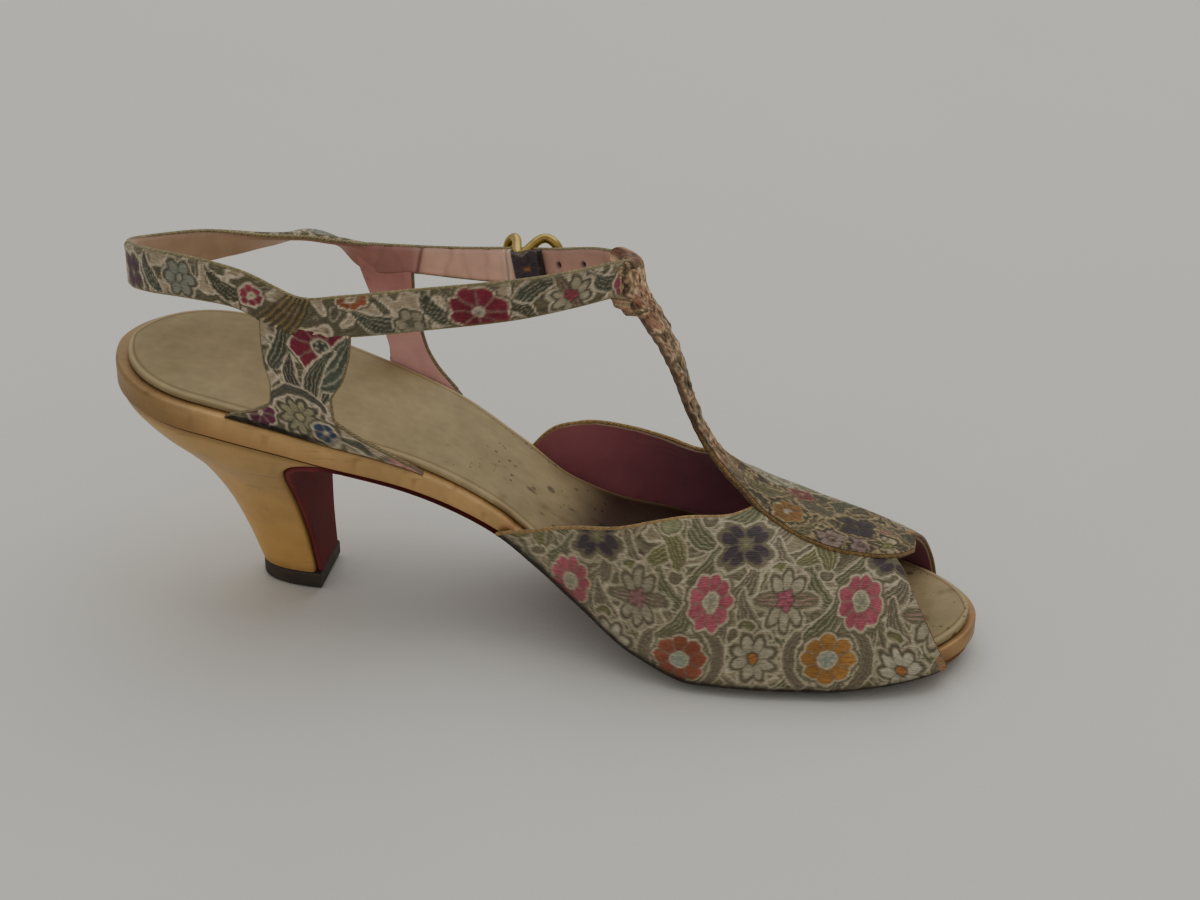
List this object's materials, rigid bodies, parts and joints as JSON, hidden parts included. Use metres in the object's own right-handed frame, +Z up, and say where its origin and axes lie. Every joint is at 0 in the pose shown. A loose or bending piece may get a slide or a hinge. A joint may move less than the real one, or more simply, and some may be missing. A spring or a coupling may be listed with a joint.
{
  "type": "peep-toe heel sandal",
  "caption": "Left-foot peep-toe evening sandal with a floral brocade vamp, T strap, buckled ankle strap, sling back and a curved covered heel.",
  "frame": {"origin": "on the floor, in the middle of the shoe's box", "axes": "+X to the toe, +Y to the outer side of the left foot, +Z up"},
  "size_m": [0.225, 0.0766, 0.1029],
  "materials": {
    "brocade": "floral silk brocade, lined with rose kid",
    "gold_kid": "gilded kid, satin and worn",
    "sock_kid": "matt beige kid, marked by wear",
    "sole_leather": "stained and polished leather",
    "tip_rubber": "matt black",
    "brass": "gilt, tarnished"
  },
  "bodies": {
    "root": {"upper": "brocade", "midsole": "gold_kid", "insole": "sock_kid", "outsole": "sole_leather", "heel": "gold_kid", "heel_tip": "tip_rubber", "buckle": "brass", "buckle_prong": "brass", "buckle_chape": "brocade"}
  },
  "joints": []
}
